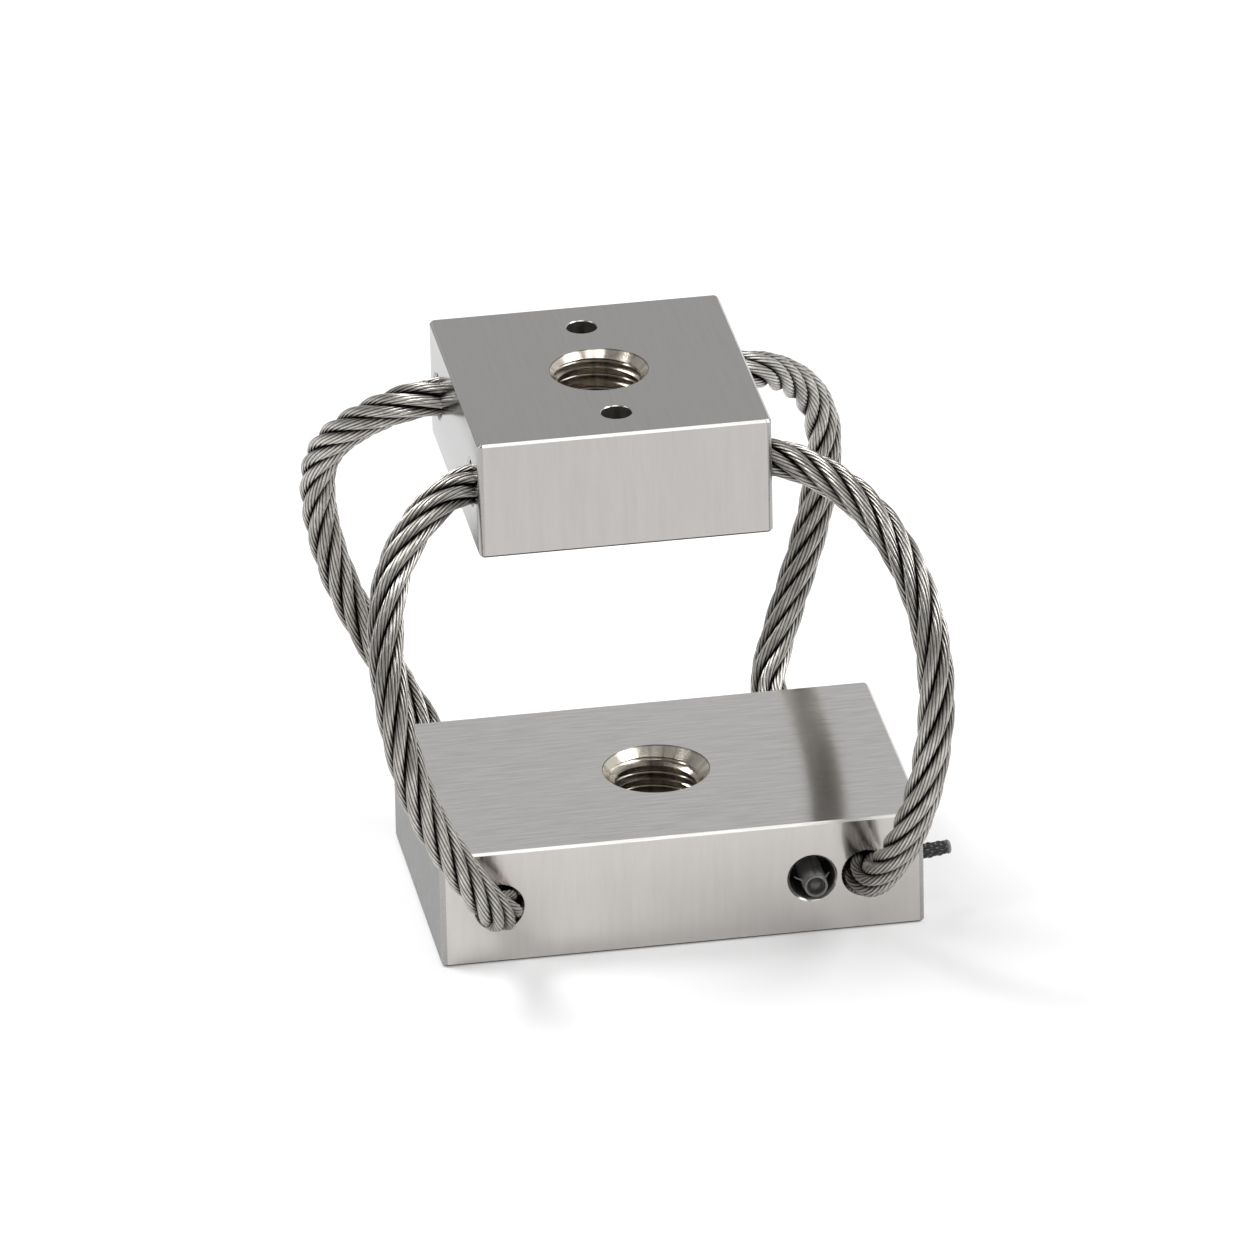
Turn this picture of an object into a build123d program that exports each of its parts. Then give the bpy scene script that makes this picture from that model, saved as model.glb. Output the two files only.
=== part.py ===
from build123d import *
import math
import os

# Wire rope isolator: two stainless blocks with tapped centres, joined only by four bent legs
# of one wire rope that is threaded through both blocks and locked in them by set screws.
#
# Frame: origin at the centre of the base's underside, on the base's thread axis.
# X runs along the base's length, -Y is the front and +Z is up. Millimetres.

# Blocks
base_length = 40.0
top_length = 24.0
block_depth = 25.0
base_height = 10.0
top_height = 10.0
top_shift = -4.0  # the rope legs lean, so the top block stands off centre along X
block_gap = 26.5  # from the base's top face to the top block's underside
corner_round = 0.5
edge_chamfer = 0.2

# Centre threads, M8: the holes are drawn at the thread's minor diameter
thread_minor = 6.8
base_countersink_mouth = 8.9
top_countersink_mouth = 8.1
countersink_angle = 90.0

# Wire rope and its bores
rope_diameter = 3.0
rope_bore = 3.8
bore_mouth = 4.2  # across the small countersink at each bore's mouth
base_bore_inset = 4.8  # from the base's ends to its rope bores
top_bore_inset = 4.1  # from the top block's front and rear to its rope bores
rope_end_gap = 0.6  # between the rope's two cut ends, inside the base's right bore

# Set screws that lock the rope, one over each bore
screw_hole = 2.5
screw_clearance = 0.05
screw_depth = 1.5  # how far the screw's head lies below the face
screw_to_rope = 0.05
socket_across_flats = 1.3
socket_depth = 1.0
screw_tip_chamfer = 0.3

# Third bore in the base's front, and the black sleeve that lies in it
spare_bore_pitch = 4.5  # from the right rope bore, along X
sleeve_diameter = 2.1
sleeve_hole = 1.3
sleeve_slot = 0.25
sleeve_length = 9.0
sleeve_proud = 0.15
sleeve_lean = 20.0  # degrees from straight down to where the sleeve touches the bore
seat_clearance = 0.03

# Black ribbed pin that stands out of the base's right end
pin_diameter = 1.4
pin_clearance = 0.05
pin_from_front = 2.8
pin_proud = 2.7
pin_to_rope = 0.1
pin_tilt = 6.0  # degrees up from level
pin_crown = 0.25

top_underside = base_height + block_gap
base_bore_x = base_length / 2 - base_bore_inset
spare_bore_x = base_bore_x - spare_bore_pitch
top_bore_y = block_depth / 2 - top_bore_inset
base_bore_z = base_height / 2
top_bore_z = top_underside + top_height / 2
base_end = base_length / 2


def cut_block(length, height, underside, centre_x, countersink_mouth):
    """A block with rounded corners, chamfered faces and a countersunk thread through it."""
    with BuildPart() as block:
        with BuildSketch(Plane((centre_x, 0, underside))):
            RectangleRounded(length, block_depth, corner_round)
        extrude(amount=height)
        outer_faces = block.faces().filter_by(Axis.Z)
        chamfer(outer_faces.edges(), length=edge_chamfer)
        upper = Plane((centre_x, 0, underside + height))
        lower = Plane((centre_x, 0, underside), z_dir=(0, 0, -1))
        with Locations(upper, lower):
            CounterSinkHole(
                radius=thread_minor / 2,
                counter_sink_radius=countersink_mouth / 2,
                counter_sink_angle=countersink_angle,
            )
    return block.part


def set_screw(face, depth):
    """A socket set screw under a face, reaching from screw_depth to the rope."""
    head = face.offset(-screw_depth)
    length = depth - screw_depth
    with BuildPart() as screw:
        with BuildSketch(head):
            Circle(screw_hole / 2 - screw_clearance)
        extrude(amount=-length)
        tip = screw.faces().sort_by(Axis(head.origin, head.z_dir))[0]
        chamfer(tip.edges(), length=screw_tip_chamfer)
        with BuildSketch(head):
            RegularPolygon(socket_across_flats / 2, 6, major_radius=False)
        extrude(amount=-socket_depth, mode=Mode.SUBTRACT)
    return screw.part


def arc_radii(points):
    """The largest tangent arc at each inner point: 0.45 of the shorter run over tan(half turn)."""
    radii = []
    for before, corner, after in zip(points, points[1:], points[2:]):
        run_in = Vector(*corner) - Vector(*before)
        run_out = Vector(*after) - Vector(*corner)
        half_turn = math.radians(run_in.get_angle(run_out)) / 2
        radii.append(0.45 * min(run_in.length, run_out.length) / math.tan(half_turn))
    return radii


def leg(side_x, side_y, past_base, past_top):
    """One rope leg's points, upwards: each is so far out along X, out along Y and up from
    the mouth of the base's bore or of the top block's bore."""
    base_mouth = (side_x * base_bore_x, side_y * block_depth / 2, base_bore_z)
    top_mouth = (top_shift + side_x * top_length / 2, side_y * top_bore_y, top_bore_z)
    points = []
    for mouth, offsets in ((base_mouth, past_base), (top_mouth, past_top)):
        for out_x, out_y, up in offsets:
            points.append((mouth[0] + side_x * out_x, mouth[1] + side_y * out_y, mouth[2] + up))
    return points


# The rope's route, from the base's right bore round all four legs and back to it. The points
# are chosen by hand, because each leg has settled into a bend of its own.
front_right_leg = leg(
    1,
    -1,
    past_base=[(0.0, 1.8, 0.0), (0.7, 6.2, 3.6), (1.7, 10.4, 8.5), (3.0, 13.0, 15.2)],
    past_top=[(11.1, 16.7, -13.7), (10.3, 13.0, -6.5), (7.2, 7.0, -1.6), (1.8, 0.0, 0.0)],
)
front_left_leg = leg(
    -1,
    -1,
    past_base=[(0.0, 3.0, 0.0), (4.2, 6.9, 7.2), (7.7, 8.1, 14.4)],
    past_top=[(8.4, 10.8, -15.0), (8.6, 7.6, -8.9), (6.9, 3.8, -4.1), (1.8, 0.0, 0.0)],
)
rear_left_leg = leg(
    -1,
    1,
    past_base=[(0.0, 3.0, 0.0), (4.2, 7.7, 7.0), (7.7, 9.3, 14.4)],
    past_top=[(8.6, 12.2, -14.6), (8.7, 8.9, -8.3), (6.0, 4.4, -3.7), (1.8, 0.0, 0.0)],
)
rear_right_leg = leg(
    1,
    1,
    past_base=[(0.0, 1.8, 0.0), (-3.2, 5.7, 1.5), (-0.9, 8.9, 6.5), (2.4, 11.1, 14.5)],
    past_top=[(10.8, 14.7, -14.2), (9.1, 11.1, -8.1), (5.6, 5.8, -3.4), (1.8, 0.0, 0.0)],
)
rope_start = (base_bore_x, -rope_end_gap / 2, base_bore_z)
rope_end = (base_bore_x, rope_end_gap / 2, base_bore_z)
rope_points = [rope_start]
rope_points += front_right_leg + front_left_leg[::-1] + rear_left_leg + rear_right_leg[::-1]
rope_points += [rope_end]
rope_radii = arc_radii(rope_points)

# Base block
base_bore_planes = [
    Plane((x, side * block_depth / 2, base_bore_z), z_dir=(0, side, 0))
    for x in (-base_bore_x, spare_bore_x, base_bore_x)
    for side in (-1, 1)
]
base_screw_faces = {
    "left": Plane((-base_bore_x, 0, 0), x_dir=(1, 0, 0), z_dir=(0, 0, -1)),
    "right": Plane((base_bore_x, 0, 0), x_dir=(1, 0, 0), z_dir=(0, 0, -1)),
}
tilt = math.radians(pin_tilt)
pin_y = pin_from_front - block_depth / 2
pin_plane = Plane((base_end, pin_y, base_bore_z), z_dir=(math.cos(tilt), 0, math.sin(tilt)))
pin_inside = base_bore_inset - rope_diameter / 2 - pin_to_rope

with BuildPart() as base_block:
    add(cut_block(base_length, base_height, 0, 0, base_countersink_mouth))
    with Locations(*base_bore_planes):
        CounterSinkHole(rope_bore / 2, bore_mouth / 2, counter_sink_angle=90)
    with Locations(*base_screw_faces.values()):
        Hole(radius=screw_hole / 2, depth=base_height / 2)
    with Locations(pin_plane.offset(pin_diameter)):
        Hole(radius=pin_diameter / 2 + pin_clearance, depth=pin_inside + pin_diameter)
base_block.part.label = "base_block"

# Top block
top_bore_planes = [
    Plane((top_shift + side * top_length / 2, y, top_bore_z), z_dir=(side, 0, 0))
    for y in (-top_bore_y, top_bore_y)
    for side in (-1, 1)
]
top_face_z = top_underside + top_height
top_screw_faces = {
    "front": Plane((top_shift, -top_bore_y, top_face_z)),
    "rear": Plane((top_shift, top_bore_y, top_face_z)),
}

with BuildPart() as top_block:
    add(cut_block(top_length, top_height, top_underside, top_shift, top_countersink_mouth))
    with Locations(*top_bore_planes):
        CounterSinkHole(rope_bore / 2, bore_mouth / 2, counter_sink_angle=90)
    with Locations(*top_screw_faces.values()):
        Hole(radius=screw_hole / 2, depth=top_height / 2)
top_block.part.label = "top_block"

# Wire rope, as its plain envelope: straight runs joined by tangent arcs
with BuildPart() as wire_rope:
    with BuildLine() as rope_line:
        FilletPolyline(*rope_points, radius=rope_radii)
    with BuildSketch(Plane(rope_start, z_dir=(0, -1, 0))):
        Circle(rope_diameter / 2)
    sweep(path=rope_line.wire())
wire_rope.part.label = "wire_rope"

# Set screws
base_screw_reach = base_bore_z - rope_diameter / 2 - screw_to_rope
top_screw_reach = top_height / 2 - rope_diameter / 2 - screw_to_rope
screws = []
for side, face in base_screw_faces.items():
    screw = set_screw(face, base_screw_reach)
    screw.label = "base_rope_screw_" + side
    screws.append(screw)
for side, face in top_screw_faces.items():
    screw = set_screw(face, top_screw_reach)
    screw.label = "top_rope_screw_" + side
    screws.append(screw)

# Slotted sleeve in the third bore, lying against the bore's lower wall
lean = math.radians(sleeve_lean)
sleeve_drop = rope_bore / 2 - sleeve_diameter / 2 - seat_clearance
sleeve_centre = (
    spare_bore_x + sleeve_drop * math.sin(lean),
    -block_depth / 2 - sleeve_proud,
    base_bore_z - sleeve_drop * math.cos(lean),
)
sleeve_plane = Plane(sleeve_centre, x_dir=(1, 0, 0), z_dir=(0, -1, 0))

with BuildPart() as spare_bore_sleeve:
    with BuildSketch(sleeve_plane):
        Circle(sleeve_diameter / 2)
        Circle(sleeve_hole / 2, mode=Mode.SUBTRACT)
        with Locations((0, sleeve_diameter / 2)):
            Rectangle(sleeve_slot, sleeve_diameter, mode=Mode.SUBTRACT)
    extrude(amount=-sleeve_length)
spare_bore_sleeve.part.label = "spare_bore_sleeve"

# Pin in the base's right end, with a crowned outer end
with BuildPart() as end_pin:
    with BuildSketch(pin_plane.offset(pin_proud)):
        Circle(pin_diameter / 2)
    extrude(amount=-(pin_proud + pin_inside))
    outer_end = end_pin.faces().sort_by(Axis(pin_plane.origin, pin_plane.z_dir))[-1]
    fillet(outer_end.edges(), radius=pin_crown)
end_pin.part.label = "end_pin"

pieces = [base_block.part, top_block.part, wire_rope.part, *screws]
pieces += [spare_bore_sleeve.part, end_pin.part]

os.makedirs("parts", exist_ok=True)
for piece in pieces:
    export_step(piece, "parts/" + piece.label + ".step")

print("rope arc radii:", [round(radius, 1) for radius in rope_radii])
rope_length = rope_line.wire().length
rope_section = math.pi * rope_diameter**2 / 4
print("rope length:", round(rope_length, 1))
print("rope volume over section times length:", wire_rope.part.volume / rope_section / rope_length)
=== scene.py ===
"""Wire rope isolator: brushed stainless blocks with tapped holes, and a laid six-strand rope."""

import math

import bpy
import numpy as np
from mathutils import Matrix, Vector


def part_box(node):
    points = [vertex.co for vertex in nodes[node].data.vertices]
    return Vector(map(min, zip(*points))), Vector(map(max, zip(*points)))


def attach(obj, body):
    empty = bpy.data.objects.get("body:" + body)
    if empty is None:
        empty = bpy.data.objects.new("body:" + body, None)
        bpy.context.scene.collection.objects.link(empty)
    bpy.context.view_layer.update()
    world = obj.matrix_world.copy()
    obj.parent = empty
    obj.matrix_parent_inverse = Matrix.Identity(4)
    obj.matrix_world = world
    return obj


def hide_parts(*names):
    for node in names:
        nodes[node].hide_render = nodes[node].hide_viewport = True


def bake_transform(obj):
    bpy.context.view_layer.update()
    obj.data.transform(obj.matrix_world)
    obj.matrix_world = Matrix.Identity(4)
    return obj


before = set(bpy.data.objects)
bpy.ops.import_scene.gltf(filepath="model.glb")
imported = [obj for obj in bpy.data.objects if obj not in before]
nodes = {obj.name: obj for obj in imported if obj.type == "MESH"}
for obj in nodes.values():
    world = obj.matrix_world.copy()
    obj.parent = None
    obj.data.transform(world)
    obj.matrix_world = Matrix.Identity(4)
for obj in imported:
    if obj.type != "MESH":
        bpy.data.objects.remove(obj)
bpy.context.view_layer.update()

MM = 0.001
base_low, base_high = (np.array(corner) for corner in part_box("base_block"))
top_low, top_high = (np.array(corner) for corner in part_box("top_block"))
base_middle = (base_low + base_high) / 2
top_middle = (top_low + top_high) / 2

# The photograph's camera: angles in degrees, lengths in millimetres, focal length in pixels
PHOTO_PIXELS = 1254
CAMERA_AZIMUTH = -9.19
CAMERA_ELEVATION = 25.8
CAMERA_ROLL = -1.25
CAMERA_DISTANCE = 1200.0
CAMERA_FOCAL = 14561.0
CAMERA_AIM_RIGHT = -2.58
CAMERA_AIM_UP = 20.62
SENSOR_WIDTH = 36.0

# Floor: the share of it that is its own white glow, which lightens its shadows, first to the
# camera and then in reflections; its height, just under the base, and its half width in metres
FLOOR_GLOW = 0.3
REFLECTED_GLOW = 0.2
FLOOR_HEIGHT = -0.00003
FLOOR_REACH = 6.0

# Soft lamps: name, place, width and height in metres, and power. All face one point.
LAMP_AIM = (0, 0, 0.03)
LAMPS = (
    ("rear_left_box", (-0.38, 0.22, 0.8), 0.36, 0.32, 6.0),
    ("front_strip_box", (0.03, -0.35, 0.8), 0.45, 0.32, 1.05),
    ("right_box", (0.64, -0.2, 0.6), 0.45, 0.5, 4.6),
    ("left_box", (-0.72, -0.16, 0.55), 0.14, 0.3, 1.2),
)

# Room: its light at shares of its height, and how that falls off along X and Y, as the range of
# the direction that is mapped and the two factors that it is mapped to
ROOM_LEVELS = ((0.0, 0.80), (0.48, 0.75), (0.62, 0.38), (0.80, 0.16), (1.0, 0.40))
ROOM_SIDES = (("X", (-0.8, 0.15, 0.42, 1.1)), ("Y", (-0.9, -0.1, 0.5, 1.0)))

# Brushed steel: fine streaks, coarse streaks, clouds and flecks in a metre
FINE_LINES = 9000.0
COARSE_LINES = 1800.0
CLOUDS = 70.0
FLECKS = 2600.0

# Rope: lengths in millimetres, the sharp bend in radians a millimetre, and the rest counts and
# shares. The splays stand in the order of the bores' mouths along the rope.
STRANDS = 6
ROPE_LAY = 20.5
STRAND_RADIUS = 0.5
STRAND_CIRCLE = 0.99
CORE_RADIUS = 0.55
WIRES = 10
WIRE_RADIUS = 0.12
COLUMNS_PER_WIRE = 7
WIRE_SLANT = 0.93
WIRE_DULLNESS = 0.14
# Painted shade on the strands: how dark the valleys between wires are and how fast that grows, and
# where the shade on each strand's side that faces the core starts and how wide it is
VALLEY_SHADE = 0.68
VALLEY_POWER = 1.25
INNER_START = 0.66
INNER_SPAN = 0.95
BEND_SPREAD = 0.05
SHARP_BEND = 0.15
SPLAY_START = 0.4
SPLAY_REACH = 1.6
MOUTH_SPLAY = (0.34, 0.06, 0.06, 0.38, 0.22, 0.06, 0.06, 0.22)
RING_STEP = 0.4
BORE_RADIUS = 1.9
BORE_INSET = 4.8
TOP_BORE_INSET = 4.1
ROPE_END_GAP = 0.6

# Where the rope's straight points in the bores lie, in millimetres: from the base's middle for
# its two ends, and from the last point outside for the other bores
END_STRAIGHT = 9.5
TOP_STRAIGHT = 6.5
BASE_STRAIGHT = 8.0

# Centre threads, M8 coarse: lengths in millimetres, and in pitches where the tap starts
THREAD_MAJOR = 3.95
THREAD_DRILL = 3.4
THREAD_CUTTER_MINOR = 3.2
THREAD_PITCH = 1.25
THREAD_FLANK = 1.732
THREAD_ROUNDING = 0.22
ROWS_PER_PITCH = 16
COLUMNS_PER_TURN = 96
TAP_START = 2.5
TAP_SPARE_TURNS = 4
BASE_COUNTERSINK = 4.45
TOP_COUNTERSINK = 4.05

# Set screws' holes, in millimetres: the cutters of their chamfers reach from a foot under the
# face to a top above it
SCREW_HOLE_RADIUS = 1.25
SCREW_HOLE_CHAMFER = 0.06
CUTTER_FOOT = -0.24
CUTTER_TOP = 0.1

# The slots of a block's finishes
LEVEL, UPRIGHT, ENDS, BRIGHT_EDGE, BORE, SINK, THREAD, SHADED_EDGE, UNDER_SHADE, HOLE = range(10)

# How a block's faces are told apart, in millimetres: how near its skin counts as on it, how wide
# the strip along its edges is, how deep a bore's mouth is, and margins round the centre hole
SKIN = 0.02
EDGE_STRIP = 0.6
MOUTH_DEPTH = 0.21
HOLE_MARGIN = 0.01
SINK_MARGIN = 0.05

# Black sleeve, in millimetres: how much slimmer its neck is than its collar, the radius of its
# lip, its wall, and its seam's depth and half width
SLEEVE_NECK = 0.08
SLEEVE_LIP = 0.1
SLEEVE_WALL = 0.2
SEAM_DEPTH = 0.16
SEAM_WIDTH = 0.1
ARC_POINTS = 9

# Its tongues: degrees clockwise from its top, length and distance from its end; and for all of
# them how far they start inside the neck, sweep back, their half width, its taper as a share, and
# half thickness
SLEEVE_BARBS = ((-72.0, 0.85, 0.75), (58.0, 0.6, 0.6))
BARB_ROOT = 0.1
BARB_SWEEP = 0.35
BARB_WIDTH = 0.26
BARB_TAPER = 0.75
BARB_THICKNESS = 0.05

# End pin: tilt in degrees, its crossed ribs, and the rounding and narrowing of its worn end
PIN_TILT = 6.0
PIN_RIBS = 6
PIN_RIB_SLOPE = 0.9
PIN_RIB_DEPTH = 0.14
PIN_CROWN = 0.35
PIN_TAPER = 0.1

base_bore_x = base_high[0] / MM - BORE_INSET
top_bore_y = top_high[1] / MM - TOP_BORE_INSET


def new_object(name, data):
    """Links a mesh, lamp or camera to the scene as an object at the origin."""
    made = bpy.data.objects.new(name, data)
    bpy.context.scene.collection.objects.link(made)
    return made


def surface(name, points, faces, material):
    """Makes a smooth piece from arrays of points in metres and of faces."""
    mesh = bpy.data.meshes.new(name)
    mesh.from_pydata(np.asarray(points).tolist(), [], [list(face) for face in faces])
    mesh.polygons.foreach_set("use_smooth", np.full(len(mesh.polygons), True))
    mesh.materials.append(material)
    mesh.update()
    return new_object(name, mesh)


def turns(columns):
    """Angles evenly spaced over one turn, from nought."""
    return np.arange(columns) / columns * 2 * np.pi


def tube_faces(rings, columns):
    """Quads between neighbouring rings of a closed tube, then a fan over each end.
    The two end points follow the rings' points in the point list."""
    ring = np.arange(rings - 1)[:, None] * columns
    column = np.arange(columns)[None, :]
    after = (column + 1) % columns
    near = ring + column
    near_after = ring + after
    sides = np.stack([near, near_after, near_after + columns, near + columns], -1)
    first = rings * columns
    start = np.stack([after[0], column[0], np.full(columns, first)], -1)
    last_ring = (rings - 1) * columns
    end_centre = np.full(columns, first + 1)
    end = np.stack([last_ring + column[0], last_ring + after[0], end_centre], -1)
    return sides.reshape(-1, 4).tolist() + start.tolist() + end.tolist()


def closed_tube(name, rings, middles, material):
    """Makes a piece from rings of points and their middles, both in millimetres."""
    points = np.concatenate([rings.reshape(-1, 3), middles[[0, -1]]]) * MM
    return surface(name, points, tube_faces(*rings.shape[:2]), material)


def mark_points(piece, attribute, values):
    """Gives each point of a piece a value that its material reads."""
    made = piece.data.attributes.new(attribute, "FLOAT", "POINT")
    made.data.foreach_set("value", values.astype(np.float32))


# Materials


class Nodes:
    """A material's node tree, with one short call for each kind of node."""

    def __init__(self, name):
        self.material = bpy.data.materials.new(name)
        self.material.use_nodes = True
        self.tree = self.material.node_tree
        self.shader = self.tree.nodes["Principled BSDF"]
        self.coordinates = self.add("ShaderNodeTexCoord").outputs["Object"]

    def add(self, kind, **settings):
        """A new node of a kind, with its settings."""
        node = self.tree.nodes.new(kind)
        for key, value in settings.items():
            setattr(node, key, value)
        return node

    def join(self, output, socket):
        """Links one node's output to another's input."""
        self.tree.links.new(output, socket)

    def noise(self, scale, stretch=(1, 1, 1), detail=3.0, rough=0.5):
        """Noise whose grain is stretched: each number divides the grain's length on that axis."""
        mapping = self.add("ShaderNodeMapping")
        mapping.inputs["Scale"].default_value = stretch
        self.join(self.coordinates, mapping.inputs["Vector"])
        texture = self.add("ShaderNodeTexNoise")
        texture.inputs["Scale"].default_value = scale
        texture.inputs["Detail"].default_value = detail
        texture.inputs["Roughness"].default_value = rough
        self.join(mapping.outputs[0], texture.inputs["Vector"])
        return texture.outputs["Fac"]

    def span(self, value, low, high, start=0.3, end=0.7):
        """Maps start to end of a value onto low to high."""
        node = self.add("ShaderNodeMapRange")
        node.inputs["From Min"].default_value = start
        node.inputs["From Max"].default_value = end
        node.inputs["To Min"].default_value = low
        node.inputs["To Max"].default_value = high
        self.join(value, node.inputs["Value"])
        return node.outputs[0]

    def mix(self, factor, first, second):
        """A colour between two, each a colour or a socket."""
        node = self.add("ShaderNodeMix", data_type="RGBA")
        self.join(factor, node.inputs["Factor"])
        for value, socket in ((first, node.inputs[6]), (second, node.inputs[7])):
            if isinstance(value, tuple):
                socket.default_value = (*value, 1.0)
            else:
                self.join(value, socket)
        return node.outputs[2]

    def bump(self, height, strength, distance, under=None):
        """A normal that follows a height, over another normal if there is one."""
        node = self.add("ShaderNodeBump")
        node.inputs["Strength"].default_value = strength
        node.inputs["Distance"].default_value = distance
        self.join(height, node.inputs["Height"])
        if under is not None:
            self.join(under, node.inputs["Normal"])
        return node.outputs[0]

    def finish(self, color, rough, normal=None, metal=1.0):
        """Sets or joins the shader's inputs, and gives the material."""
        self.shader.inputs["Metallic"].default_value = metal
        for value, name in ((color, "Base Color"), (rough, "Roughness")):
            if isinstance(value, (tuple, float)):
                socket = self.shader.inputs[name]
                socket.default_value = (*value, 1.0) if isinstance(value, tuple) else value
            else:
                self.join(value, self.shader.inputs[name])
        if normal is not None:
            self.join(normal, self.shader.inputs["Normal"])
        return self.material


def brushed(
    name,
    color,
    grain,
    rough,
    streak=0.5,
    fleck=0.0,
    smear=None,
    glance=1.0,
    lines=COARSE_LINES,
):
    """Brushed stainless steel: fine streaks along one axis in colour, roughness and height.
    Smear is the direction that reflections are drawn out in, glance dims them at a low angle, and
    lines is the number of coarse streaks in a metre."""
    made = Nodes(name)
    made.shader.inputs["Specular Tint"].default_value = (glance, glance, glance, 1.0)
    if smear:
        made.shader.inputs["Anisotropic"].default_value = 0.6
        direction = made.add("ShaderNodeCombineXYZ")
        for socket, value in zip(direction.inputs, smear):
            socket.default_value = value
        made.join(direction.outputs[0], made.shader.inputs["Tangent"])
    fine = made.noise(FINE_LINES, grain, detail=2.0)
    coarse = made.noise(lines, grain, detail=4.0, rough=0.6)
    cloud = made.noise(CLOUDS, detail=2.0)
    dark = tuple(channel * (1 - 0.10 * streak) for channel in color)
    light = tuple(min(1.0, channel * (1 + 0.06 * streak)) for channel in color)
    tone = made.mix(made.span(coarse, 0.0, 1.0), dark, light)
    pale = tuple(min(1.0, channel * 1.05) for channel in color)
    tone = made.mix(made.span(cloud, 0.0, 0.35), tone, pale)
    if fleck:
        spots = made.noise(FLECKS, tuple(0.3 + 0.7 * axis for axis in grain), detail=1.0)
        tone = made.mix(made.span(spots, 0.0, fleck, 0.62, 0.78), tone, light)
    roughness = made.span(fine, rough * 0.85, rough * 1.25)
    normal = made.bump(coarse, 0.06 * streak, 0.00006)
    normal = made.bump(fine, 0.10 * streak, 0.00003, normal)
    return made.finish(tone, roughness, normal)


def polished(name, color, rough, middle, mouth):
    """Turned steel round a middle axis: dark streaks that depend on the angle, which are painted
    reflections, a faint stain, and a dark line of painted shade where the distance from the axis
    nears the mouth's."""
    made = Nodes(name)
    ridges = made.noise(2500.0, (0.4, 0.4, 3.0), detail=3.0)
    stain = made.noise(600.0, detail=3.0)
    centred = made.add("ShaderNodeVectorMath", operation="SUBTRACT")
    made.join(made.coordinates, centred.inputs[0])
    centred.inputs[1].default_value = (float(middle[0]), float(middle[1]), 0.0)
    around = made.add("ShaderNodeTexGradient", gradient_type="RADIAL")
    made.join(centred.outputs[0], around.inputs["Vector"])
    # Dark streaks round the axis: painted reflections
    reflection_streaks = made.add("ShaderNodeTexNoise", noise_dimensions="1D")
    reflection_streaks.inputs["Scale"].default_value = 26.0
    reflection_streaks.inputs["Detail"].default_value = 2.0
    made.join(around.outputs["Fac"], reflection_streaks.inputs["W"])
    level = made.add("ShaderNodeVectorMath", operation="MULTIPLY")
    made.join(centred.outputs[0], level.inputs[0])
    level.inputs[1].default_value = (1.0, 1.0, 0.0)
    distance = made.add("ShaderNodeVectorMath", operation="LENGTH")
    made.join(level.outputs[0], distance.inputs[0])
    darker = tuple(channel * 0.72 for channel in color)
    tone = made.mix(made.span(stain, 0.0, 0.6, 0.4, 0.75), color, darker)
    shaded = tuple(channel * 0.55 for channel in color)
    tone = made.mix(made.span(reflection_streaks.outputs["Fac"], 0.0, 0.5, 0.52, 0.64), tone, shaded)
    # A near black line just inside the mouth: painted shade
    rim = made.span(distance.outputs["Value"], 0.0, 0.85, (mouth - 0.10) * MM, (mouth - 0.03) * MM)
    tone = made.mix(rim, tone, (0.05, 0.045, 0.04))
    normal = made.bump(ridges, 0.12, 0.00004)
    return made.finish(tone, made.span(stain, rough, rough * 1.8), normal)


def rope_wire(name):
    """Drawn wire: bright where it is rubbed, with random grime and wear, and near black where the
    groove value paints shade, with each wire's own random dullness.
    """
    made = Nodes(name)
    groove = made.add("ShaderNodeAttribute", attribute_name="groove").outputs["Fac"]
    grime = made.noise(380.0, detail=4.0, rough=0.6)
    wear = made.noise(2600.0, detail=2.0)
    bright = made.mix(made.span(wear, 0.0, 1.0), (0.62, 0.60, 0.568), (0.455, 0.436, 0.408))
    warm = made.mix(made.span(grime, 0.0, 0.8, 0.45, 0.7), bright, (0.32, 0.295, 0.265))
    # Painted shade: near black in the valleys between wires, on the strands' inner sides and on
    # the core. A small random share dulls each wire.
    tone = made.mix(made.span(groove, 0.0, 1.0, 0.05, 0.85), warm, (0.028, 0.025, 0.022))
    return made.finish(tone, made.span(grime, 0.27, 0.4))


def black_part(name, color, rough, grain, bumpy):
    """Black finish with a fine grain, grey where the piece's wear value says so: rubbed wear, and
    painted light over the sleeve's outside.
    """
    made = Nodes(name)
    grit = made.noise(grain, detail=4.0, rough=0.6)
    lighter = tuple(channel * 2.2 for channel in color)
    tone = made.mix(made.span(grit, 0.0, 0.6), color, lighter)
    # Grey from the wear value: rubbed wear, and painted light over the sleeve's outside
    wear_and_painted_light = made.add("ShaderNodeAttribute", attribute_name="wear_and_painted_light").outputs["Fac"]
    tone = made.mix(wear_and_painted_light, tone, (0.30, 0.30, 0.30))
    normal = made.bump(grit, bumpy, 0.00006)
    return made.finish(tone, made.span(grit, rough, rough * 1.6), normal, metal=0.0)


# The grain's direction, as each axis's share in how fast the streaks change
ALONG_X = (0.035, 1.0, 1.0)
SHORT_X = (0.08, 1.0, 1.0)
ALONG_Y = (1.0, 0.03, 1.0)
ALONG_Z = (1.0, 1.0, 0.07)

steel_base_top = brushed(
    "brushed_base_top",
    (0.515, 0.502, 0.489),
    SHORT_X,
    0.13,
    streak=1.5,
    smear=(0, 1, 0),
    lines=3000.0,
)
steel_top_face = brushed(
    "brushed_top_face",
    (0.328, 0.32, 0.313),
    ALONG_Y,
    0.2,
    streak=0.5,
    fleck=0.5,
    smear=(1, 0, 0),
    lines=4500.0,
)
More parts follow.
